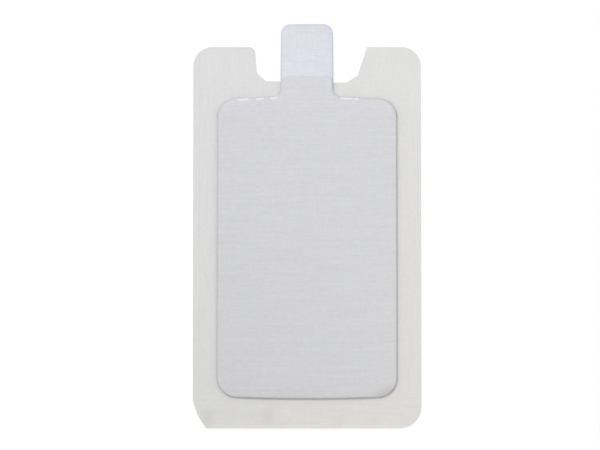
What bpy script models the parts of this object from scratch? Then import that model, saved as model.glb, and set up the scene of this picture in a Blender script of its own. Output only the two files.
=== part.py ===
# Electrosurgical return electrode: a die-cut foam sheet that carries a foil conductor and a conductive gel.
# Sizes are in metres. X runs across the sheet, +Y along it towards the tab, +Z out of the side that meets skin.
# The origin is under the middle of the whole outline, on the surface that the foam lies on.

import math

import bmesh
import bpy

# Conductive pad, the outline that foil and gel share
PAD_WIDTH = 0.0900
PAD_LENGTH = 0.1503  # from the straight bottom line to the shoulders beside the neck
PAD_CORNER_RADIUS = 0.0093
SHOULDER_DROP = 0.0015  # the shoulders fall this far from the neck to the sides
BOTTOM_BOW = 0.0012  # the bottom edge bulges this far at its middle

# Contact tab, which runs out of the pad's shoulders through a parallel neck
TAB_WIDTH = 0.0259  # at its free end
TAB_FLARE = 0.0003  # each side spreads this far on its way down to the neck
TAB_BEYOND_SHEET = 0.0114
TAB_CORNER_RADIUS = 0.0048
NECK_LENGTH = 0.0100
NECK_FILLET_RADIUS = 0.0036

# Layers, from the back to the skin side
FOAM_THICKNESS = 0.0010
FOIL_THICKNESS = 0.0002
GEL_THICKNESS = 0.0007
BOND_THICKNESS = 0.0003  # adhesive film between two layers

# Gel, cast over the pad and its neck, a little short of the foil's edge
GEL_SETBACK = 0.0003
GEL_RIM_RADIUS = 0.0004
GEL_END_RADIUS = 0.0008  # its two corners across the neck

# Foam sheet, placed by its margins round the pad
SIDE_MARGIN = 0.0120
FOOT_MARGIN = 0.0158
HEAD_MARGIN = 0.0247
EAR_RADIUS = 0.0096
FOOT_RADIUS = 0.0110  # right foot; the left foot is trimmed off in two strokes, measured from its corner
TRIM_ACROSS = 0.0067
TRIM_UP = 0.0136
TRIM_BEND_ACROSS = 0.0026
TRIM_BEND_UP = 0.0061
TRIM_RADIUS = 0.0120
FOAM_RIM_RADIUS = 0.0002

# Notch that bares the tab for a cable clamp. Each side is measured outwards from the neck's edge, and up
# from the right end of the notch floor.
NOTCH_LAND = 0.0068  # foam left between the pad's shoulders and the notch floor
LEFT_FLOOR = 0.0074
LEFT_FLOOR_UP = 0.0007
LEFT_BEND = 0.0120
LEFT_BEND_UP = 0.0050
LEFT_MOUTH = 0.0130
LEFT_MOUTH_RADIUS = 0.0030
RIGHT_FLOOR = 0.0064
RIGHT_BEND = 0.0121
RIGHT_BEND_UP = 0.0035
RIGHT_MOUTH = 0.0169
RIGHT_MOUTH_RADIUS = 0.0005
NOTCH_BEND_RADIUS = 0.0016

# Facets
ARC_STEP = math.radians(7.5)
SHARED_EDGE = 0.5  # most of an edge that an arc may use, where its other end has an arc too
LONE_EDGE = 0.95  # and where it has none
BOW_CUTS = 12
RIM_SEGMENTS = 3
SMOOTH_BELOW = math.radians(40)
SAME_PLACE = 1e-6

# Places worked out from the sizes above
NECK_HALF = TAB_WIDTH / 2 + TAB_FLARE
SHEET_LENGTH = FOOT_MARGIN + PAD_LENGTH + HEAD_MARGIN
SHEET_FOOT = -(SHEET_LENGTH + TAB_BEYOND_SHEET) / 2
SHEET_HEAD = SHEET_FOOT + SHEET_LENGTH
PAD_FOOT = SHEET_FOOT + FOOT_MARGIN
SHOULDER = PAD_FOOT + PAD_LENGTH
NECK_TOP = SHOULDER + NECK_LENGTH
TAB_END = SHEET_HEAD + TAB_BEYOND_SHEET
NOTCH_FLOOR = SHOULDER + NOTCH_LAND
FOIL_HEIGHT = FOAM_THICKNESS + BOND_THICKNESS
GEL_HEIGHT = FOIL_HEIGHT + FOIL_THICKNESS + BOND_THICKNESS


def unit(ax, ay, bx, by):
    """Unit direction from a to b, and the distance between them."""
    length = math.hypot(bx - ax, by - ay)
    return (bx - ax) / length, (by - ay) / length, length


def rounded(corners):
    """Outline through (x, y, radius) corners, each turned into an arc that is tangent to both its edges.

    A short edge limits a radius, because an arc may use only its share of the edges beside it.
    """
    points = []
    for i, (x, y, radius) in enumerate(corners):
        before = corners[i - 1]
        after = corners[(i + 1) % len(corners)]
        ux, uy, back = unit(x, y, before[0], before[1])
        vx, vy, ahead = unit(x, y, after[0], after[1])
        turn = math.pi - math.acos(max(-1.0, min(1.0, ux * vx + uy * vy)))
        back *= SHARED_EDGE if before[2] else LONE_EDGE
        ahead *= SHARED_EDGE if after[2] else LONE_EDGE
        reach = min(radius * math.tan(turn / 2), back, ahead)
        if reach < SAME_PLACE:
            points.append((x, y))
            continue
        arc_radius = reach / math.tan(turn / 2)
        mx, my, _ = unit(0, 0, ux + vx, uy + vy)
        centre_away = math.hypot(reach, arc_radius)
        cx, cy = x + mx * centre_away, y + my * centre_away
        start = math.atan2(y + uy * reach - cy, x + ux * reach - cx)
        left_turn = uy * vx - ux * vy > 0
        steps = max(2, math.ceil(turn / ARC_STEP))
        for k in range(steps + 1):
            angle = start + (turn if left_turn else -turn) * k / steps
            points.append((cx + arc_radius * math.cos(angle), cy + arc_radius * math.sin(angle)))
    return points


def pad_corners(setback, end_radius=0.0):
    """Corners of the pad and its neck, anticlockwise, drawn in by the setback on every side."""
    half = PAD_WIDTH / 2 - setback
    neck = NECK_HALF - setback
    foot = PAD_FOOT + setback
    top = NECK_TOP - setback
    corner = PAD_CORNER_RADIUS - setback
    fillet = NECK_FILLET_RADIUS + setback
    return [
        (-half, foot, corner),
        (half, foot, corner),
        (half, SHOULDER - SHOULDER_DROP - setback, corner),
        (neck, SHOULDER - setback, fillet),
        (neck, top, end_radius),
        (-neck, top, end_radius),
        (-neck, SHOULDER - setback, fillet),
        (-half, SHOULDER - SHOULDER_DROP - setback, corner),
    ]


def foil_corners():
    """Corners of the foil, anticlockwise: the pad, its neck, and the tab that narrows to its free end."""
    pad = pad_corners(0.0)
    tab = [(TAB_WIDTH / 2, TAB_END, TAB_CORNER_RADIUS), (-TAB_WIDTH / 2, TAB_END, TAB_CORNER_RADIUS)]
    return pad[:5] + tab + pad[5:]


def sheet_corners():
    """Corners of the foam sheet, anticlockwise from the trimmed left foot."""
    half = PAD_WIDTH / 2 + SIDE_MARGIN
    return [
        (-half + TRIM_ACROSS, SHEET_FOOT, 0.0),
        (half, SHEET_FOOT, FOOT_RADIUS),
        (half, SHEET_HEAD, EAR_RADIUS),
        (NECK_HALF + RIGHT_MOUTH, SHEET_HEAD, RIGHT_MOUTH_RADIUS),
        (NECK_HALF + RIGHT_BEND, NOTCH_FLOOR + RIGHT_BEND_UP, NOTCH_BEND_RADIUS),
        (NECK_HALF + RIGHT_FLOOR, NOTCH_FLOOR, NOTCH_BEND_RADIUS),
        (-NECK_HALF - LEFT_FLOOR, NOTCH_FLOOR + LEFT_FLOOR_UP, NOTCH_BEND_RADIUS),
        (-NECK_HALF - LEFT_BEND, NOTCH_FLOOR + LEFT_BEND_UP, NOTCH_BEND_RADIUS),
        (-NECK_HALF - LEFT_MOUTH, SHEET_HEAD, LEFT_MOUTH_RADIUS),
        (-half, SHEET_HEAD, EAR_RADIUS),
        (-half, SHEET_FOOT + TRIM_UP, TRIM_RADIUS),
        (-half + TRIM_BEND_ACROSS, SHEET_FOOT + TRIM_BEND_UP, TRIM_RADIUS),
    ]


def flat_outline(corners):
    """A flat face with this outline."""
    bm = bmesh.new()
    bm.faces.new([bm.verts.new((x, y, 0)) for x, y in rounded(corners)])
    return bm


def bow_foot(bm, setback):
    """Bulge the pad's bottom edge: full depth at the middle, and nothing at the sides."""
    foot = PAD_FOOT + setback
    half = PAD_WIDTH / 2 - setback
    straight = [e for e in bm.edges if all(abs(v.co.y - foot) < SAME_PLACE for v in e.verts)]
    bmesh.ops.subdivide_edges(bm, edges=straight, cuts=BOW_CUTS)
    for vert in bm.verts:
        if vert.co.y < foot + PAD_CORNER_RADIUS:
            vert.co.y -= BOTTOM_BOW * (1 - (vert.co.x / half) ** 2)


def crease_at_neck(bm):
    """Divide the foil where its bare tab begins, from one side of the neck to the other."""
    ends = [v for v in bm.verts if abs(v.co.y - NECK_TOP) < SAME_PLACE]
    bmesh.ops.connect_verts(bm, verts=ends)


def raised(bm, thickness, rim_radius=0.0):
    """Extrude the flat outline up to its thickness, then round the rim of the upper face."""
    upper = bmesh.ops.extrude_face_region(bm, geom=bm.faces[:])
    lifted = [v for v in upper["geom"] if isinstance(v, bmesh.types.BMVert)]
    bmesh.ops.translate(bm, verts=lifted, vec=(0, 0, thickness))
    bmesh.ops.recalc_face_normals(bm, faces=bm.faces[:])
    if rim_radius:
        top = set(lifted)
        bmesh.ops.bevel(
            bm,
            geom=[e for e in bm.edges if top.issuperset(e.verts)],
            offset=min(rim_radius, thickness / 2),
            segments=RIM_SEGMENTS,
            profile=0.5,
            affect="EDGES",
            clamp_overlap=True,
        )
    return bm


def surface(name, colour, roughness, metallic=0.0, coat=0.0):
    material = bpy.data.materials.new(name)
    material.use_nodes = True
    shader = material.node_tree.nodes["Principled BSDF"]
    shader.inputs["Base Color"].default_value = (*colour, 1.0)
    shader.inputs["Roughness"].default_value = roughness
    shader.inputs["Metallic"].default_value = metallic
    shader.inputs["Coat Weight"].default_value = coat
    material.diffuse_color = (*colour, 1.0)
    return material


def layer(name, bm, height, material):
    """Turn the finished shape into a named object, laid at its own height in the stack."""
    mesh = bpy.data.meshes.new(name)
    bm.to_mesh(mesh)
    bm.free()
    mesh.materials.append(material)
    mesh.shade_smooth()
    mesh.set_sharp_from_angle(angle=SMOOTH_BELOW)
    obj = bpy.data.objects.new(name, mesh)
    obj.location.z = height
    bpy.context.scene.collection.objects.link(obj)
    return obj


def foam_carrier():
    bm = raised(flat_outline(sheet_corners()), FOAM_THICKNESS, FOAM_RIM_RADIUS)
    return layer("foam_carrier", bm, 0.0, surface("pale_foam", (0.70, 0.70, 0.685), 0.75))


def conductor_foil():
    bm = flat_outline(foil_corners())
    bow_foot(bm, 0.0)
    crease_at_neck(bm)
    bm = raised(bm, FOIL_THICKNESS)
    foil = surface("aluminium_foil", (0.74, 0.74, 0.80), 0.35, metallic=1.0)
    return layer("conductor_foil", bm, FOIL_HEIGHT, foil)


def gel_pad():
    bm = flat_outline(pad_corners(GEL_SETBACK, GEL_END_RADIUS))
    bow_foot(bm, GEL_SETBACK)
    bm = raised(bm, GEL_THICKNESS, GEL_RIM_RADIUS)
    gel = surface("conductive_gel", (0.66, 0.66, 0.70), 0.40, coat=0.3)
    return layer("gel_pad", bm, GEL_HEIGHT, gel)


def main():
    for obj in list(bpy.data.objects):
        bpy.data.objects.remove(obj, do_unlink=True)
    electrode = bpy.data.objects.new("return_electrode", None)
    bpy.context.scene.collection.objects.link(electrode)
    for obj in (foam_carrier(), conductor_foil(), gel_pad()):
        obj.parent = electrode


main()
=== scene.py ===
# Looks of an electrosurgical return electrode that lies gel side up, seen from straight above.
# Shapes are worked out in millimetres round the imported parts, and turned into metres where a mesh is made.

import math

import bmesh
import bpy
import numpy as np
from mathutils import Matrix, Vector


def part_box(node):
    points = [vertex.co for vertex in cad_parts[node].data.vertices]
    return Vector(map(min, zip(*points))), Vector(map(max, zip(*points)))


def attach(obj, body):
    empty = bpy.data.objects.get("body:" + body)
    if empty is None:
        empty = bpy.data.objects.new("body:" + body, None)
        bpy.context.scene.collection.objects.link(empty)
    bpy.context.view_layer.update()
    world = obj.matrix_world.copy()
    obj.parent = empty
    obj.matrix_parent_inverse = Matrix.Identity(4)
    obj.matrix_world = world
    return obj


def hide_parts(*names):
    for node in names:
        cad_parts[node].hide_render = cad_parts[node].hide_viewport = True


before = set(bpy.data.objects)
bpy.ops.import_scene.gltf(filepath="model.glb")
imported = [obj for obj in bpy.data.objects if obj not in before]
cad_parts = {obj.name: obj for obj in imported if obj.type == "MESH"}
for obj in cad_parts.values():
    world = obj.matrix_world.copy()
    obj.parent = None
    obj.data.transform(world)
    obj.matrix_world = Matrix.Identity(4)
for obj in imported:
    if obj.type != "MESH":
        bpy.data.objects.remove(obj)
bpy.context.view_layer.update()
print("frame loaded:", ", ".join(sorted(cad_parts)))

mm = 0.001  # a millimetre in scene units


def boxInMm(node):
    low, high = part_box(node)
    return np.array(low) / mm, np.array(high) / mm


foamLow, foamHigh = boxInMm("foam_carrier")
foilLow, foilHigh = boxInMm("conductor_foil")
gelLow, gelHigh = boxInMm("gel_pad")


# Shader maths

class Wire:  # a node's output, on which arithmetic adds Math nodes
    def __init__(self, graph, socket):
        self.graph = graph
        self.socket = socket

    def maths(self, operation, *others):
        return self.graph.maths(operation, self, *others)

    def __add__(self, other):
        return self.maths("ADD", other)

    def __sub__(self, other):
        return self.maths("SUBTRACT", other)

    def __rsub__(self, other):
        return self.graph.maths("SUBTRACT", other, self)

    def __mul__(self, other):
        return self.maths("MULTIPLY", other)

    def __truediv__(self, other):
        return self.maths("DIVIDE", other)

    def __rtruediv__(self, other):
        return self.graph.maths("DIVIDE", other, self)

    def __pow__(self, other):
        return self.maths("POWER", other)

    def __rpow__(self, other):
        return self.graph.maths("POWER", other, self)

    def __neg__(self):
        return self.maths("MULTIPLY", -1)

    def __abs__(self):
        return self.maths("ABSOLUTE")

    __radd__ = __add__
    __rmul__ = __mul__


class Graph:  # the nodes of a material or of the world
    def __init__(self, owner, shader="Principled BSDF"):
        self.owner = owner
        owner.use_nodes = True
        self.tree = owner.node_tree
        self.shader = self.tree.nodes[shader]

    def node(self, kind, settings=None, sockets=None, output=0):
        made = self.tree.nodes.new(kind)
        for key, value in (settings or {}).items():
            setattr(made, key, value)
        self.feed(made, sockets or {})
        return Wire(self, made.outputs[output])

    def feed(self, made, sockets):
        for key, value in sockets.items():
            if isinstance(value, Wire):
                self.tree.links.new(value.socket, made.inputs[key])
            else:
                made.inputs[key].default_value = value

    def maths(self, operation, *values):
        return self.node("ShaderNodeMath", {"operation": operation}, dict(enumerate(values)))

    def place(self):  # Object coordinates in mm, as x, y and z
        metres = self.node("ShaderNodeTexCoord", output="Object")
        return [self.node("ShaderNodeSeparateXYZ", sockets={0: metres}, output=axis) * (1 / mm)
                for axis in range(3)]

    def scaledPlace(self, place, sizes):  # a place as a vector, with these sizes in mm as its units
        return self.node("ShaderNodeCombineXYZ", sockets={i: place[i] / sizes[i] for i in range(3)})

    def noise(self, place, sizes, detail, roughness=0.5):  # 0 to 1, in lumps of about these sizes
        sockets = {"Vector": self.scaledPlace(place, sizes), "Scale": 1.0, "Detail": detail,
                   "Roughness": roughness}
        return self.node("ShaderNodeTexNoise", sockets=sockets)

    def flatNoise(self, x, y, height, sizes, **settings):  # the same noise at every z, cut at this height
        return self.noise((x, y, height), (*sizes, 1.0), **settings)

    def cells(self, place, size):  # distance to the nearest cell's middle, in cells of this size
        sockets = {"Vector": self.scaledPlace(place, (size, size, size)), "Scale": 1.0}
        return self.node("ShaderNodeTexVoronoi", sockets=sockets)

    def step(self, value, low, high):  # 0 at low and below, 1 at high and above, smooth between
        sockets = {"Value": value, "From Min": low, "From Max": high}
        return self.node("ShaderNodeMapRange", {"interpolation_type": "SMOOTHSTEP"}, sockets)

    def mix(self, factor, first, second):  # two colours
        settings = {"data_type": "RGBA"}
        return self.node("ShaderNodeMix", settings, {0: factor, 6: first, 7: second}, 2)

    def scaled(self, colour, factor):
        return self.node("ShaderNodeVectorMath", {"operation": "SCALE"}, {0: colour, "Scale": factor})

    def bump(self, height, distance, strength):  # the height's unit is distance, in mm
        sockets = {"Height": height, "Distance": distance * mm, "Strength": strength}
        return self.node("ShaderNodeBump", sockets=sockets)

    def finish(self, **sockets):
        self.feed(self.shader, {name.replace("_", " "): value for name, value in sockets.items()})
        return self.owner


def newGraph(name):
    return Graph(bpy.data.materials.new(name))


def shade(red, green, blue):
    return (red, green, blue, 1.0)


def larger(a, b):
    return a.maths("MAXIMUM", b) if isinstance(a, Wire) else np.maximum(a, b)


def smaller(a, b):
    return a.maths("MINIMUM", b) if isinstance(a, Wire) else np.minimum(a, b)


def above(a, b):  # 1 where a is above b, or else 0
    return a.maths("GREATER_THAN", b) if isinstance(a, Wire) else np.where(a > b, 1.0, 0.0)


natural = 2.718  # e, the base of the two curves below


def fadeOut(away, width):  # e to the power -away / width
    return natural ** (away * (-1 / width))


def bell(squared):  # e to the power -squared, a bell curve of the distance that was squared
    return natural ** (squared * -1)


# Outlines

pad = {  # the shape that foil and gel share
    "half": foilHigh[0],
    "setback": 0.3,  # the gel's, inside the foil
    "neckLength": 10.0,
    "shoulderDrop": 1.5,  # from the neck to the sides
    "bow": 1.2,  # how far the foot line bulges at its middle
    "neckHalf": 13.25,
    "corner": 9.3,
    "fillet": 3.6,
    "endCorner": 0.8,  # of the gel, across the neck
    "spineFoot": 34,  # from the foot and from the shoulders to the ends of the middle line
    "spineHead": 5,
}
pad["foot"] = foilLow[1] + pad["bow"]  # the foot line without its bow
pad["neckTop"] = gelHigh[1] + pad["setback"]
pad["shoulder"] = pad["neckTop"] - pad["neckLength"]


def walkOutline(corners, count):
    # Points and outward directions at even steps round an outline whose corners (x, y, radius) are arcs,
    # and which corner each point has come to, as a number that is whole in the middle of a corner's arc.
    # An arc begins radius * tan(turn / 2) before its corner. Walked by a distance, it ends at its chord,
    # distance * sin(half the turn) / (half the turn), along the mean heading; a straight has no turn.
    corners = np.array(corners, float)
    spot = corners[:, :2]
    radius = corners[:, 2]
    ahead = np.roll(spot, -1, axis=0) - spot
    heading = np.arctan2(ahead[:, 1], ahead[:, 0])
    cameIn = np.roll(heading, 1)
    turn = (heading - cameIn + np.pi) % (2 * np.pi) - np.pi
    reach = (radius * np.tan(np.abs(turn) / 2))[:, None]
    arcStart = spot - reach * np.stack([np.cos(cameIn), np.sin(cameIn)], 1)
    arcEnd = spot + reach * np.stack([np.cos(heading), np.sin(heading)], 1)
    straight = np.hypot(*(np.roll(arcStart, -1, axis=0) - arcEnd).T)
    starts = np.stack([arcStart, arcEnd], 1).reshape(-1, 2)
    headings = np.stack([cameIn, heading], 1).ravel()
    bends = np.stack([np.sign(turn) / radius, np.zeros(len(turn))], 1).ravel()
    lengths = np.stack([radius * np.abs(turn), straight], 1).ravel()
    ends = np.cumsum(lengths)
    begin = lengths[0] + lengths[1] / 2  # the middle of the first straight
    along = (begin + ends[-1] * np.arange(count) / count) % ends[-1]
    piece = np.minimum(np.searchsorted(ends, along, side="right"), len(ends) - 1)
    beyond = along - (ends - lengths)[piece]
    halfTurn = bends[piece] * beyond / 2
    middle = headings[piece] + halfTurn
    chord = (beyond * np.sinc(halfTurn / np.pi))[:, None]
    points = starts[piece] + chord * np.stack([np.cos(middle), np.sin(middle)], 1)
    facing = middle + halfTurn - np.pi / 2
    knots = (ends - lengths / 2)[::2]
    past = (along - knots[0]) % ends[-1]
    station = np.interp(past, np.append(knots - knots[0], ends[-1]), np.arange(len(knots) + 1))
    return points, np.stack([np.cos(facing), np.sin(facing)], 1), station


def padCorners(setback, top):
    # Anticlockwise from the lower left; top holds the right-hand corners above the neck's foot.
    half = pad["half"] - setback
    neck = pad["neckHalf"] - setback
    foot = pad["foot"] + setback
    side = pad["shoulder"] - pad["shoulderDrop"] - setback
    corner = pad["corner"] - setback
    fillet = pad["fillet"] + setback
    right = [(half, foot, corner), (half, side, corner), (neck, pad["shoulder"] - setback, fillet), *top]
    return [(-half, foot, corner), *right, *[(-x, y, r) for x, y, r in right[:0:-1]]]


def bowed(points, setback):
    # The foot line bulges by bow * (1 - (x / half width) squared).
    half = pad["half"] - setback
    low = points[:, 1] < pad["foot"] + setback + pad["corner"]
    bulge = pad["bow"] * np.clip(1 - (points[:, 0] / half) ** 2, 0, 1)
    return np.stack([points[:, 0], points[:, 1] - low * bulge], 1)


def roundBox(x, y, halfX, halfY, radius):
    # Signed distance to a box round the origin with round corners, negative inside.
    overX = abs(x) - (halfX - radius)
    overY = abs(y) - (halfY - radius)
    outside = (larger(overX, 0.0) ** 2 + larger(overY, 0.0) ** 2) ** 0.5
    return outside + smaller(larger(overX, overY), 0.0) - radius


def padDistance(x, y):
    # Signed distance to the pad's outline in mm, for arrays and for wires: a round box for the body with
    # its bowed foot and sloping shoulders pulled straight, a second one for the neck, and fillets between
    # them. Within a fillet's radius of both boxes the distance is measured from the middle of its circle.
    middle = (pad["foot"] + pad["shoulder"]) / 2
    tall = (pad["shoulder"] - pad["foot"]) / 2
    across = pad["half"] - pad["neckHalf"]
    high = above(y, middle)
    bulge = pad["bow"] * larger(1 - (x / pad["half"]) ** 2, 0.0)
    slope = pad["shoulderDrop"] * larger((abs(x) - pad["neckHalf"]) / across, 0.0)
    body = roundBox(x, y - middle + (1 - high) * bulge + high * slope, pad["half"], tall, pad["corner"])
    neckTall = pad["neckLength"]
    neck = roundBox(x, y - pad["neckTop"] + neckTall, pad["neckHalf"], neckTall, pad["endCorner"])
    fillet = pad["fillet"]
    reach = (larger(fillet - body, 0.0) ** 2 + larger(fillet - neck, 0.0) ** 2) ** 0.5
    return larger(smaller(body, neck), fillet) - reach


paintedEdge = {  # painted shade: a dark line round the pad, where shade falls at its edge
    # Each run's share of painted shade at the left and at the right, where "lower" is added to "side"
    # towards the foot, and the line's width.
    "foam": {"side": (0.13, 0.46), "lower": (0.16, 0.0), "arc": (0.25, 0.52), "upper": (0.06, 0.08),
             "neck": (0.06, 0.04), "foot": (0.05, 0.04), "width": 0.38},
    "foil": {"side": (0.40, 0.05), "lower": (0.0, 0.0), "arc": (0.46, 0.36), "upper": (0.50, 0.32),
             "neck": (0.40, 0.0), "foot": (0.10, 0.02), "width": 1.0},
    "gel": {"side": (0.24, 0.02), "lower": (0.0, 0.24), "arc": (0.38, 0.48), "upper": (0.26, 0.65),
            "neck": (0.26, 0.60), "foot": (0.28, 0.16), "width": 0.45},
    "fromLeft": (-5, 10),  # where the left's share turns into the right's, along x
    "lowerFrom": (-10, 80),  # where "lower" grows, along -y
    "runs": {"arc": (53, 56), "upper": (62, 63.4), "neck": (66, 68)},  # where each takes over, along y
    "footFrom": (80, 84),  # and along -y
    "endFrom": (73.2, 74.2),  # where the line weakens, across the neck, and by how much
    "endLess": 0.35,
    # the painted shade's colour
    "shadeColour": shade(0.30, 0.30, 0.285),
    "paintedShadow": 0.08,  # a wider, fainter painted shadow on the foam
    "hazeWidth": 1.5,
    "hazeFrom": (52, 62),  # where it weakens, towards the head, and by how much
    "hazeLess": 0.5,
    "wetWithPaintedGlint": [(-32.0, 3.0), (-23.6, 2.1), (-16.9, 1.6), (19.8, 3.3), (24.9, 1.3)],  # glossy runs, also with a painted highlight and no painted shade: middle, half length
    "wetFrom": (56, 62),  # the height at which the upper edge begins
    "wetIn": (0.2, 0.45),  # how far inside the gel's edge a run begins, and where it ends
    "wetOut": (1.35, 1.05),
}


def wetRunsWithPaintedGlint(graph, x, y):  # 1 along the glossy runs of the upper edge, which carry a painted highlight and no painted shade
    wetWithPaintedGlint = 0.0
    for middle, half in paintedEdge["wetWithPaintedGlint"]:
        wetWithPaintedGlint = larger(1 - (abs(x - middle) / half) ** 6, wetWithPaintedGlint)
    return wetWithPaintedGlint * graph.step(y, *paintedEdge["wetFrom"])


def paintSeamShade(graph, colour, x, y, away, kind, unshaded=0.0):
    # The colour with its share of painted shade, which fades out with the distance from the edge.
    line = paintedEdge[kind]
    toRight = graph.step(x, *paintedEdge["fromLeft"])

    def across(run):
        left, right = line[run]
        return left + toRight * (right - left)

    share = across("side") + across("lower") * graph.step(-y, *paintedEdge["lowerFrom"])
    for run, (low, high) in paintedEdge["runs"].items():
        share = share + graph.step(y, low, high) * (across(run) - share)
    share = share + graph.step(-y, *paintedEdge["footFrom"]) * (across("foot") - share)
    share = share * (1 - graph.step(y, *paintedEdge["endFrom"]) * paintedEdge["endLess"]) * (1 - unshaded)
    return graph.mix(share * fadeOut(away, line["width"]), colour, paintedEdge["shadeColour"])


# Meshes

joining = {
    "merge": 0.002,  # points closer than this become one
    "sharp": math.radians(50),  # edges that turn further than this stay sharp
}


def ringMesh(name, rings, material):
    # Rings of points in mm, from the middle of the underside out, up and in to the middle of the top.
    # Each ring's point i is joined to point i of the next, and points that meet at a middle are merged.
    count, steps = rings.shape[:2]
    index = np.arange(count * steps).reshape(count, steps)
    beside = np.roll(index, -1, axis=1)
    quads = np.stack([index[:-1], beside[:-1], beside[1:], index[1:]], -1).reshape(-1, 4)
    mesh = bpy.data.meshes.new(name)
    mesh.from_pydata((rings.reshape(-1, 3) * mm).tolist(), [], quads.tolist())
    bm = bmesh.new()
    bm.from_mesh(mesh)
    bmesh.ops.remove_doubles(bm, verts=bm.verts[:], dist=joining["merge"] * mm)
    bmesh.ops.dissolve_degenerate(bm, edges=bm.edges[:], dist=joining["merge"] * mm)
    bmesh.ops.recalc_face_normals(bm, faces=bm.faces[:])
    bm.to_mesh(mesh)
    bm.free()
    mesh.materials.append(material)
    mesh.shade_smooth()
    mesh.set_sharp_from_angle(angle=joining["sharp"])
    made = bpy.data.objects.new(name, mesh)
    bpy.context.scene.collection.objects.link(made)
    print(f"{name}: {len(mesh.vertices)} points, {len(mesh.polygons)} faces")
    return made


def inwards(outline, outwards, insets, heights):
    # Rings parallel to an outline, each drawn in by its inset and lifted to its height.
    flat = outline[None] - np.array(insets)[:, None, None] * outwards[None]
    tall = np.broadcast_to(np.array(heights, float)[:, None, None], (*flat.shape[:2], 1))
    return np.concatenate([flat, tall], 2)


def cutEdge(outline, outwards, piece):
    # Rings up a piece's side, given as (inset, height) points, and round its rim, whose points lie
    # rim * (1 - cos angle) in and rim * (1 - sin angle) below the top, for angles up to a quarter turn.
    angle = np.linspace(0, np.pi / 2, piece["rimSteps"])
    inset, height = zip(*piece["side"])
    return inwards(outline, outwards, [*inset, *(piece["rim"] * (1 - np.cos(angle)))],
                   [*height, *(piece["top"] - piece["rim"] * (1 - np.sin(angle)))])


def towards(ring, target, shares):
    # Rings between a ring and a target line or point, at these shares of the way.
    shares = np.array(shares)[:, None, None]
    flat = ring[None, :, :2] * (1 - shares) + target[None] * shares
    tall = np.broadcast_to(ring[None, :, 2:], (len(shares), len(ring), 1))
    return np.concatenate([flat, tall], 2)


def padSpine(points):
    # The nearest point of the pad's middle line, from which every part of the outline can be seen.
    low = pad["foot"] + pad["spineFoot"]
    high = pad["shoulder"] - pad["spineHead"]
    return np.stack([np.zeros(len(points)), np.clip(points[:, 1], low, high)], 1)


def easeIn(count, power):  # shares from 0 to 1, closer together near 0
    return (np.arange(1, count + 1) / count) ** power


def padRings(outline, outwards, side, piece):
    # A side with its underside and its upper face, which run in to the pad's middle line.
    spine = padSpine(outline)
    under = towards(side[0], spine, [1.0, 0.5])
    face = inwards(outline, outwards, piece["faceInsets"], [piece["top"]] * len(piece["faceInsets"]))
    return np.concatenate([under, side, face, towards(face[-1], spine, easeIn(*piece["faceSteps"]))])


def ripple(x, y, seed, waves, shortest, longest):
    # A sum of waves with seeded directions, lengths and phases, from about -1 to 1.
    random = np.random.default_rng(seed)
    total = np.zeros_like(x)
    for _ in range(waves):
        angle, phase = random.uniform(0, 2 * np.pi, 2)
        length = random.uniform(shortest, longest)
        total += np.sin((x * math.cos(angle) + y * math.sin(angle)) * 2 * np.pi / length + phase)
    return total / waves


# Foam sheet

foam = {
    "top": foamHigh[2],
    # The cut side's points, from the back up: inset, height.
    "side": [(0.12, 0.0), (0.03, 0.05), (0.0, 0.15), (0.03, 0.35), (0.05, 0.5), (0.03, 0.65)],
    "rim": 0.22,
    "rimSteps": 6,
    "ear": 9.6,  # radius of the upper corners, and of the right foot
    "foot": 11.0,
    "trim": [(0.0, 13.6, 12.0), (2.6, 6.1, 12.0), (6.7, 0.0, 0.4)],  # lower left: across, up, radius
    "notchLand": 6.8,  # foam between the shoulders and the notch
    # Out from the neck, up from the notch's floor or None for the sheet's head, and radius.
    "leftNotch": [(7.4, 0.7, 1.6), (12.0, 5.0, 1.6), (13.0, None, 3.0)],
    "rightNotch": [(6.4, 0.0, 1.6), (12.1, 3.5, 1.6), (16.9, None, 0.5)],
    # For each corner a partner under the pad, where the skin ends. No line to it may cross the outline.
    "core": [(-36, -72), (36, -72), (36, 50), (32, 55), (25.5, 57), (13, 58),
             (-13, 58), (-27.5, 57), (-32, 55), (-36, 50), (-38, -60), (-37, -68)],
    "skinShares": [0.008, *np.linspace(0.03, 0.7, 26), 0.85, 1.0],  # of the way from the rim to the core
    "middle": (0.0, -10.0),  # where the underside and the hidden rest of the upper side close
    "steps": 1280,
    "wave": 0.03,
    "waveLengths": (16, 60),
    "dents": [(-49.4, -96.5, 3.0, 4.5, 0.22, 0.075),  # x, y, half width, half height, depth, painted shade
              (-18.8, -95.7, 3.4, 5.0, 0.22, 0.06),
              (17.0, -98.0, 2.6, 4.5, 0.15, 0.025)],
    "cool": shade(0.722, 0.722, 0.723),
    "warm": shade(0.735, 0.727, 0.704),
    "footFrom": (78, 88),  # where the skin is drawn across and no longer up, along -y
    "tone": 0.996,
    "toRight": 0.00036,  # painted light falloff: what the tone gains for each mm to the right, and upwards
    "upwards": 0.0001,
    "clouds": 0.03,  # how far each pattern moves the tone
    "grain": 0.11,
    "drawn": 0.09,
    "cells": 0.03,
    "lowerLeft": 0.026,  # painted light falloff: how much darker that corner is
    "edgeLight": 0.045,  # how much lighter the foot's edge is, along -y
    "edgeFrom": (98.4, 100.4),
    "earDark": 0.03,  # and how much darker the left ear's upper edge, from this far below it
    "earBelow": (1.1, 0.5),
    "earFrom": (8, 14),  # along -x
    "pressed": -54.6,  # x of a fine pressed line along the left side, drawn as a painted highlight and painted shade
    "pressedWidth": 0.45,
    "pressedTone": 0.06,
    "rough": (0.75, 0.15),  # roughness, and how far the grain moves it
    "relief": (0.03, 0.6),  # depth in mm, and strength
    "shine": 0.35,
}


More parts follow.
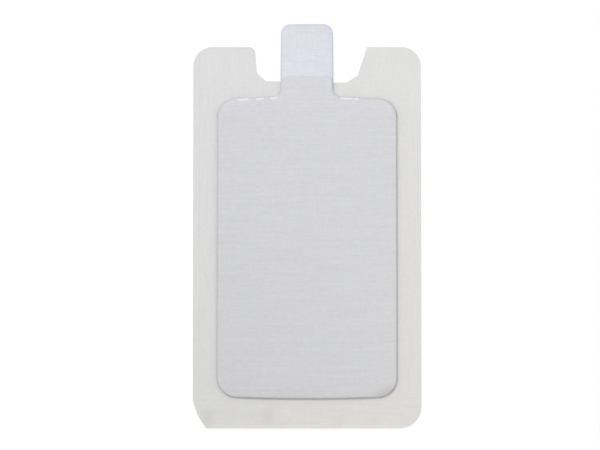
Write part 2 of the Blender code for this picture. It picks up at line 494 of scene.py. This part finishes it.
def foamCorners():
    # Anticlockwise from the trimmed lower left corner.
    left, right = foamLow[0], foamHigh[0]
    foot, head = foamLow[1], foamHigh[1]
    floor = pad["shoulder"] + foam["notchLand"]

    def notch(side, key):
        return [(side * (pad["neckHalf"] + out), head if up is None else floor + up, radius)
                for out, up, radius in foam[key]]

    trim = [(left + across, foot + up, radius) for across, up, radius in foam["trim"]]
    return [trim[2], (right, foot, foam["foot"]), (right, head, foam["ear"]),
            *notch(1, "rightNotch")[::-1], *notch(-1, "leftNotch"), (left, head, foam["ear"]), *trim[:2]]


def foamCore(station):
    core = np.array([*foam["core"], foam["core"][0]], float)
    corner = np.arange(len(core))
    return np.stack([np.interp(station, corner, core[:, i]) for i in range(2)], 1)


def foamSurface(x, y):
    # The skin side's height above flat: long waves, and dents that fall off as a bell curve.
    lift = foam["wave"] * (ripple(x, y, 5, 7, *foam["waveLengths"]) - 1)
    for dentX, dentY, wide, tall, depth, _ in foam["dents"]:
        lift = lift - depth * np.exp(-((x - dentX) / wide) ** 2 - ((y - dentY) / tall) ** 2)
    return lift


def foamMaterial():
    graph = newGraph("closedCellFoam")
    place = graph.place()
    x, y = place[:2]
    cells = graph.cells(place, 0.8)
    grain = graph.noise(place, (1.5, 1.5, 1.5), detail=3.0, roughness=0.55)
    drawnUp = graph.noise(place, (0.8, 18, 18), detail=1.0)
    drawnAcross = graph.noise(place, (18, 1.6, 18), detail=1.0)
    cloud = graph.noise(place, (16, 16, 16), detail=3.0)
    hue = graph.flatNoise(x, y, 3.0, (7, 7), detail=1.0)
    warm = graph.step(x * 0.6 - y * 0.5 + (cloud - 0.5) * 40 + (hue - 0.5) * 90, -60, 80)
    skin = graph.mix(warm, foam["cool"], foam["warm"])
    foot = graph.step(-y, *foam["footFrom"])
    drawn = (drawnUp - 0.5) * (1 - foot) * foam["drawn"] + (drawnAcross - 0.5) * foot * foam["drawn"]
    # Painted light falloff: lighter to the right and upwards, darker towards the lower left corner.
    tone = foam["tone"] + x * foam["toRight"] + y * foam["upwards"]
    tone = tone + (cloud - 0.5) * foam["clouds"] + (grain - 0.5) * foam["grain"] + drawn
    tone = tone - graph.step(x + y, -80, -150) * foam["lowerLeft"]
    tone = tone + (cells - 0.4) * foam["cells"] + foam["edgeLight"] * graph.step(-y, *foam["edgeFrom"])
    # Painted shade in each dent.
    for dentX, dentY, wide, tall, _, dark in foam["dents"]:
        tone = tone - dark * bell(((x - dentX) / wide) ** 2 + ((y - dentY) / tall) ** 2)
    fromLine = (x - foam["pressed"]) / foam["pressedWidth"]  # painted highlight on one flank and painted shade on the other
    tone = tone - fromLine * bell(fromLine ** 2) * (1 - foot) * foam["pressedTone"]
    ear = graph.step(y, *[foamHigh[1] - below for below in foam["earBelow"]])
    ear = ear * graph.step(-x, *foam["earFrom"])
    tone = tone - ear * foam["earDark"]
    away = larger(padDistance(x, y), 0.0)
    # A wide, faint painted shadow on the foam round the pad.
    paintedShadow = paintedEdge["paintedShadow"] * (1 - graph.step(y, *paintedEdge["hazeFrom"]) * paintedEdge["hazeLess"])
    tone = tone * (1 - paintedShadow * fadeOut(away, paintedEdge["hazeWidth"]))
    # Painted shade along the pad's edge.
    colour = paintSeamShade(graph, graph.scaled(skin, tone), x, y, away, "foam")
    relief = graph.bump(cells * 0.6 + grain, *foam["relief"])
    rough, moved = foam["rough"]
    return graph.finish(Base_Color=colour, Roughness=rough + (grain - 0.5) * moved, Normal=relief,
                        Specular_IOR_Level=foam["shine"])


def foamSheet():
    outline, outwards, station = walkOutline(foamCorners(), foam["steps"])
    side = cutEdge(outline, outwards, foam)
    core = foamCore(station)
    skin = towards(side[-1], core, foam["skinShares"])
    middle = np.broadcast_to(foam["middle"], outline.shape)
    over = towards(skin[-1], middle, [0.3, 0.6, 1.0])
    under = np.concatenate([towards(side[0], middle, [1.0]), towards(side[0], core, [1.0, 0.4])])
    rings = np.concatenate([under, side, skin, over])
    rings[..., 2] += foamSurface(rings[..., 0], rings[..., 1]) * rings[..., 2] / foam["top"]
    made = ringMesh("foamSheet", rings, foamMaterial())
    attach(made, "root")
    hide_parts("foam_carrier")


# Foil laminate, bare at the tab

foil = {
    "top": foilHigh[2],
    "under": foilLow[2],
    "side": [(0.02, foilLow[2]), (0.0, foilLow[2] + 0.05)],
    "rim": 0.06,
    "rimSteps": 4,
    "faceInsets": [0.15, 0.3, 0.5],
    "faceSteps": (22, 1.3),  # how many from there to the middle line, and how they spread
    "film": 0.27,  # the adhesive film that fills the space down to the foam
    "filmEnd": 0.5,  # the length over which it ends at the notch
    "tabHalf": 12.95,
    "tabCorner": 4.8,
    "tabEnd": foilHigh[1],
    "neckCorner": 0.4,
    "steps": 1120,
    "tints": [shade(0.583, 0.596, 0.661), shade(0.597, 0.591, 0.637)],
    "ledge": shade(0.68, 0.68, 0.665),  # squeezed-out film lies on what shows of the foil round the gel
    "tone": 1.034,  # at this height, and what it gains for each mm from there
    "toneAt": 88,
    "upwards": -0.002,
    "brushed": 0.19,  # how far each pattern moves the tone
    "crossed": 0.1,
    "cut": 0.22,  # painted shade along its cut edge: how much darker, and what the right half adds
    "cutShadeRight": 0.08,
    "cutWidth": 0.36,
    "cutOut": 0.1,  # how far outside the tab's sides that begins
    "cutHalf": 30,  # half the length of the round box that stands for the tab
    "bareBelow": (1.0, 0.4),  # where the ledge turns into bare foil, below the neck's top
    "metal": 0.35,
    "rough": (0.45, 0.2),  # roughness, and how far the brushing moves it
    "relief": (0.012, 0.6),  # depth in mm, and strength
}


def foilMaterial():
    graph = newGraph("satinFoil")
    place = graph.place()
    x, y = place[:2]
    brushed = graph.noise(place, (5, 0.8, 6), detail=2.0, roughness=0.6)
    crossed = graph.noise(place, (1.1, 7, 6), detail=1.0)
    hue = graph.flatNoise(x, y, 1.0, (5, 11), detail=1.0)
    tint = graph.mix(graph.step(hue, 0.3, 0.7), *foil["tints"])
    half, wide = foil["cutHalf"], foil["tabHalf"] + foil["cutOut"]
    inside = -roundBox(x, y - foil["tabEnd"] + half, wide, half, foil["tabCorner"])
    bare = graph.step(y, *[pad["neckTop"] - below for below in foil["bareBelow"]])
    # Painted shade along the tab's cut edge, deeper on the right.
    cut = foil["cut"] + graph.step(x, 0, 5) * foil["cutShadeRight"]
    cut = cut * fadeOut(larger(inside, 0.0), foil["cutWidth"])
    tone = foil["tone"] + (y - foil["toneAt"]) * foil["upwards"]
    tone = tone + (brushed - 0.5) * foil["brushed"] + (crossed - 0.5) * foil["crossed"]
    colour = graph.mix(bare, foil["ledge"], graph.scaled(tint, tone * (1 - bare * cut)))
    relief = graph.bump(brushed + crossed * 0.5, *foil["relief"])
    rough, moved = foil["rough"]
    # Painted shade along the pad's edge, left out on the bare foil.
    return graph.finish(Base_Color=paintSeamShade(graph, colour, x, y, 0.0, "foil", bare), Metallic=foil["metal"],
                        Roughness=rough + (brushed - 0.5) * moved, Normal=relief)


def foilLaminate():
    tab = [(pad["neckHalf"], pad["neckTop"], foil["neckCorner"]),
           (foil["tabHalf"], foil["tabEnd"], foil["tabCorner"])]
    outline, outwards, _ = walkOutline(padCorners(0.0, tab), foil["steps"])
    outline = bowed(outline, 0.0)
    side = cutEdge(outline, outwards, foil)
    onFoam = np.clip((pad["shoulder"] + foam["notchLand"] - outline[:, 1]) / foil["filmEnd"], 0, 1)
    side[0, :, 2] = foil["under"] - foil["film"] * onFoam
    made = ringMesh("foilLaminate", padRings(outline, outwards, side, foil), foilMaterial())
    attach(made, "root")
    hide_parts("conductor_foil")


# Gel pad

gel = {
    "top": gelHigh[2],
    "under": foil["top"],
    "side": [(0.05, foil["top"]), (0.0, foil["top"] + 0.1), (0.0, 1.95)],
    "rim": 0.35,
    "rimSteps": 8,
    "faceInsets": [0.45, 0.55, 0.65],
    "faceSteps": (52, 1.6),
    "crown": 0.12,  # how far the face rolls down at its edge, and how far in that begins
    "crownWide": 2.6,
    "wave": 0.02,
    "waveLengths": (22, 70),
    "creaseIn": 1.1,  # the lifted corner's crease, in from the edge
    "creaseWide": 2.1,
    "creaseDeep": 0.1,
    "creaseMiddle": (pad["half"] - pad["corner"], pad["foot"] + pad["corner"]),
    "creaseFacing": (0.34, 0.94),  # right and down from there to where it is deepest
    "creaseEnds": (0.68, 0.28),  # as a cosine of the turn away from that: where it ends, and how softly
    # how much painted shade, with a yellow tint, the crease gets
    "creaseShade": 0.4,
    "steps": 1040,
    "blue": shade(0.642, 0.642, 0.679),
    "grey": shade(0.647, 0.645, 0.658),
    "pink": shade(0.655, 0.632, 0.672),
    "green": shade(0.630, 0.650, 0.664),
    # the colour of the crease's painted shade
    "creaseShadeColour": shade(0.44, 0.43, 0.30),
    # the painted highlight's colour
    "gloss": shade(0.86, 0.86, 0.86),
    "footFrom": (74, 84),  # along -y
    "tone": 1.003,
    "toRight": 0.0005,  # painted light falloff: what the tone gains for each mm
    "weft": 0.14,  # how far each pattern moves the tone
    "warp": 0.07,
    "drawn": 0.09,
    "lowerLeft": 0.028,  # painted light falloff: how much darker that corner is
    "footDark": 0.016,  # and the foot, as painted light falloff
    "headLight": 0.02,  # and how much lighter the head
    "paintedGlintShare": 0.75,  # of the painted highlight's colour in a glossy run
    "rough": (0.45, 0.1),  # roughness, and how far the weft moves it
    "edgeRough": 0.3,  # what the edge adds to that where it is dry
    "wetRough": -0.2,
    "coat": (0.6, 0.2),  # a glossy run's coat weight and roughness
    "relief": (0.012, 0.5),  # depth in mm, and strength
}


def creaseMask(x, y):
    # 1 along the crease at the lower right corner: a bell curve of the distance inside the edge, which
    # fades on both sides of one direction from the middle of the corner's arc.
    toRight, down = gel["creaseFacing"]
    end, soft = gel["creaseEnds"]
    toX = x - gel["creaseMiddle"][0]
    toY = gel["creaseMiddle"][1] - y
    facing = (toX * toRight + toY * down) / larger((toX ** 2 + toY ** 2) ** 0.5, 0.01)
    across = (-padDistance(x, y) - gel["creaseIn"]) / gel["creaseWide"]
    return smaller(larger((facing - end) / soft, 0.0), 1.0) ** 1.5 * bell(across ** 2)


def gelSurface(x, y):
    # The face's height against flat, never above: it rolls down to its edge by crown * (1 - distance
    # inside / width) squared, waves gently, and dips along the crease.
    rolled = np.clip(1 + (padDistance(x, y) + pad["setback"]) / gel["crownWide"], 0, 1)
    wave = gel["wave"] * (1 + ripple(x, y, 9, 6, *gel["waveLengths"])) * (1 - rolled)
    return -gel["crown"] * rolled ** 2 - wave - gel["creaseDeep"] * creaseMask(x, y)


def gelMaterial():
    graph = newGraph("conductiveGel")
    x, y = graph.place()[:2]
    weft = graph.flatNoise(x, y, 0.0, (3.2, 1.1), detail=2.0, roughness=0.55)  # of the scrim inside it
    warp = graph.flatNoise(x, y, 4.0, (1.1, 5), detail=1.0)
    drawn = graph.flatNoise(x, y, 7.0, (30, 1.6), detail=1.0)
    cloud = graph.flatNoise(x, y, 2.0, (18, 18), detail=2.0)
    hue = graph.flatNoise(x, y, 9.0, (6, 6), detail=1.0)
    foot = graph.step(-y, *gel["footFrom"])
    neutral = graph.step(x * 0.8 - y + (cloud - 0.5) * 60 + foot * 25, -60, 110)
    tint = graph.mix(neutral, gel["blue"], gel["grey"])
    tint = graph.mix(graph.step(hue, 0.5, 0.75) * 0.5, tint, gel["pink"])
    tint = graph.mix(graph.step(hue, 0.5, 0.25) * 0.5, tint, gel["green"])
    # Painted light falloff: lighter to the right, darker towards the lower left corner and the foot.
    tone = gel["tone"] + x * gel["toRight"] + (weft - 0.5) * gel["weft"] + (warp - 0.5) * gel["warp"]
    tone = tone + (drawn - 0.5) * gel["drawn"] - graph.step(x * 0.7 + y, 0, -110) * gel["lowerLeft"]
    tone = tone - foot * gel["footDark"] + graph.step(y, 52, 64) * gel["headLight"]
    inside = larger(-padDistance(x, y) - pad["setback"], 0.0)
    wetWithPaintedGlint = graph.step(inside, *paintedEdge["wetIn"]) * graph.step(inside, *paintedEdge["wetOut"]) * wetRunsWithPaintedGlint(graph, x, y)
    # Painted shade with a yellow tint along the crease.
    colour = graph.mix(creaseMask(x, y) * gel["creaseShade"], graph.scaled(tint, tone), gel["creaseShadeColour"])
    # Painted shade along the pad's edge, left out along the glossy runs.
    colour = paintSeamShade(graph, colour, x, y, inside + 0.1, "gel", wetWithPaintedGlint)
    # A painted highlight along the glossy runs.
    colour = graph.mix(wetWithPaintedGlint * gel["paintedGlintShare"], colour, gel["gloss"])
    rough, moved = gel["rough"]
    rough = rough + (weft - 0.5) * moved + graph.step(inside, 0.6, 0.3) * gel["edgeRough"] * (1 - wetWithPaintedGlint)
    relief = graph.bump(weft * 1.5 + warp, *gel["relief"])
    coat, coatRough = gel["coat"]
    return graph.finish(Base_Color=colour, Roughness=rough + wetWithPaintedGlint * gel["wetRough"], Normal=relief,
                        Coat_Weight=wetWithPaintedGlint * coat, Coat_Roughness=coatRough)


def gelPad():
    end = [(pad["neckHalf"] - pad["setback"], pad["neckTop"] - pad["setback"], pad["endCorner"])]
    outline, outwards, _ = walkOutline(padCorners(pad["setback"], end), gel["steps"])
    outline = bowed(outline, pad["setback"])
    rings = padRings(outline, outwards, cutEdge(outline, outwards, gel), gel)
    rise = rings[..., 2] - gel["under"]
    rings[..., 2] += gelSurface(rings[..., 0], rings[..., 1]) * rise / (gel["top"] - gel["under"])
    made = ringMesh("gelPad", rings, gelMaterial())
    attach(made, "root")
    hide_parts("gel_pad")


foamSheet()
foilLaminate()
gelPad()
print("pieces made")


# Stage, light and camera

stage = {
    "size": 8.0,
    "tone": 0.85,
    "veil": 0.8,  # the share of plain white in what the camera sees of the floor, which softens its shadows
    "white": 1.05,
    "near": 0.4,  # from here to "far" the veil closes, so that the floor meets the sky without a line
    "far": 2.0,
    "sky": 0.6,
    "keyShare": 0.4,
    "keyDistance": 2.2,
    "keyHeight": math.radians(52),
    "keyTurn": math.radians(26),  # from straight ahead towards the left
    "keySize": 0.9,
}


def seenDirectly(graph):  # 1 for what the camera, a gloss or a clear piece shows, or else 0
    camera, glossy, clear = [graph.node("ShaderNodeLightPath", output=kind) for kind in
                             ("Is Camera Ray", "Is Glossy Ray", "Is Transmission Ray")]
    return larger(larger(camera, glossy), clear)


def makeFloor():
    graph = newGraph("paleFloor")
    material = graph.finish(Base_Color=shade(*[stage["tone"]] * 3), Roughness=0.9, Specular_IOR_Level=0.0)
    metres = graph.node("ShaderNodeTexCoord", output="Object")
    away = graph.node("ShaderNodeVectorMath", {"operation": "LENGTH"}, {0: metres}, "Value")
    closed = graph.step(away, stage["near"], stage["far"])
    veil = (stage["veil"] + closed * (1 - stage["veil"])) * seenDirectly(graph)
    white = graph.node("ShaderNodeEmission", sockets={"Strength": stage["white"]})
    surface = Wire(graph, graph.shader.outputs[0])
    graph.feed(graph.tree.nodes["Material Output"],
               {"Surface": graph.node("ShaderNodeMixShader", sockets={0: veil, 1: surface, 2: white})})
    half = stage["size"] / 2
    corners = [(-half, -half, 0), (half, -half, 0), (half, half, 0), (-half, half, 0)]
    mesh = bpy.data.meshes.new("floor")
    mesh.from_pydata(corners, [], [(0, 1, 2, 3)])
    mesh.materials.append(material)
    floor = bpy.data.objects.new("floor", mesh)
    bpy.context.scene.collection.objects.link(floor)


def makeSky():
    world = bpy.data.worlds.new("studio")
    graph = Graph(world, "Background")
    graph.finish(Color=shade(1, 1, 1), Strength=stage["sky"] + seenDirectly(graph) * (1 - stage["sky"]))
    bpy.context.scene.world = world


def makeKey():
    # Share * pi squared * distance squared / sin(height) watts light a white floor to that share of white.
    height, turn, distance = stage["keyHeight"], stage["keyTurn"], stage["keyDistance"]
    lamp = bpy.data.lights.new("key", "AREA")
    lamp.shape = "DISK"
    lamp.size = stage["keySize"]
    lamp.energy = stage["keyShare"] * math.pi ** 2 * distance ** 2 / math.sin(height)
    key = bpy.data.objects.new("key", lamp)
    key.location = (-math.sin(turn) * math.cos(height) * distance,
                    math.cos(turn) * math.cos(height) * distance,
                    math.sin(height) * distance)
    key.rotation_euler = (-key.location).to_track_quat("-Z", "Y").to_euler()
    bpy.context.scene.collection.objects.link(key)


view = {
    "middle": (-3.5, 0.3, 1.5),  # the point that the picture's middle shows, in mm
    "width": 0.3,  # across the picture there
    "distance": 1.2,
    "tilt": math.radians(2.24),
}


def makeCamera():
    lens = bpy.data.cameras.new("camera")
    lens.lens = lens.sensor_width * view["distance"] / view["width"]
    lens.clip_start = 0.01
    lens.clip_end = 50
    camera = bpy.data.objects.new("camera", lens)
    tilt, distance = view["tilt"], view["distance"]
    x, y, z = [value * mm for value in view["middle"]]
    camera.location = (x, y - math.sin(tilt) * distance, z + math.cos(tilt) * distance)
    camera.rotation_euler = (tilt, 0, 0)
    bpy.context.scene.collection.objects.link(camera)
    bpy.context.scene.camera = camera


makeFloor()
makeSky()
makeKey()
makeCamera()
bpy.context.scene.view_settings.view_transform = "Standard"
print("stage, light and camera made")
